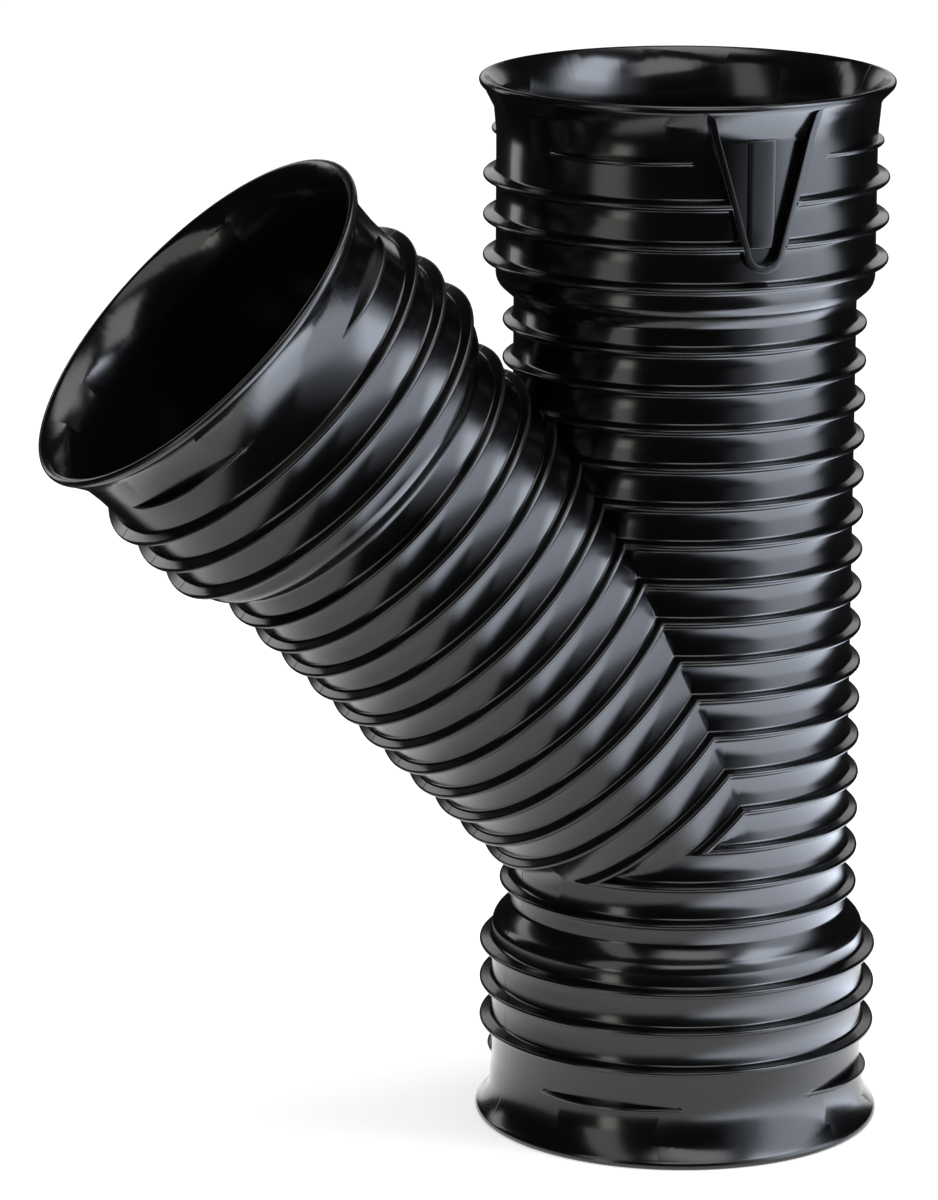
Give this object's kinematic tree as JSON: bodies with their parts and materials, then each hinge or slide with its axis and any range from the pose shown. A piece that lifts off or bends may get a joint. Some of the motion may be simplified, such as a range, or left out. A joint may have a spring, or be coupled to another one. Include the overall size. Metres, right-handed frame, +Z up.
{
  "type": "lateral wye pipe fitting",
  "caption": "Ribbed black plastic lateral wye: a straight run with a socket at each end and an equal branch leaving at 45 degrees to a third socket.",
  "frame": {"origin": "middle of the run's lower mouth, in the plane of its rim, on which the fitting stands", "axes": "+Z up the run's axis; the branch leaves toward -X and +Z in the XZ plane; the raised V is on the -Y side"},
  "size_m": [0.3859, 0.1834, 0.4755],
  "materials": {
    "black_polypropylene": "glossy moulded black plastic"
  },
  "bodies": {
    "root": {"wye_body": "black_polypropylene"}
  },
  "joints": []
}
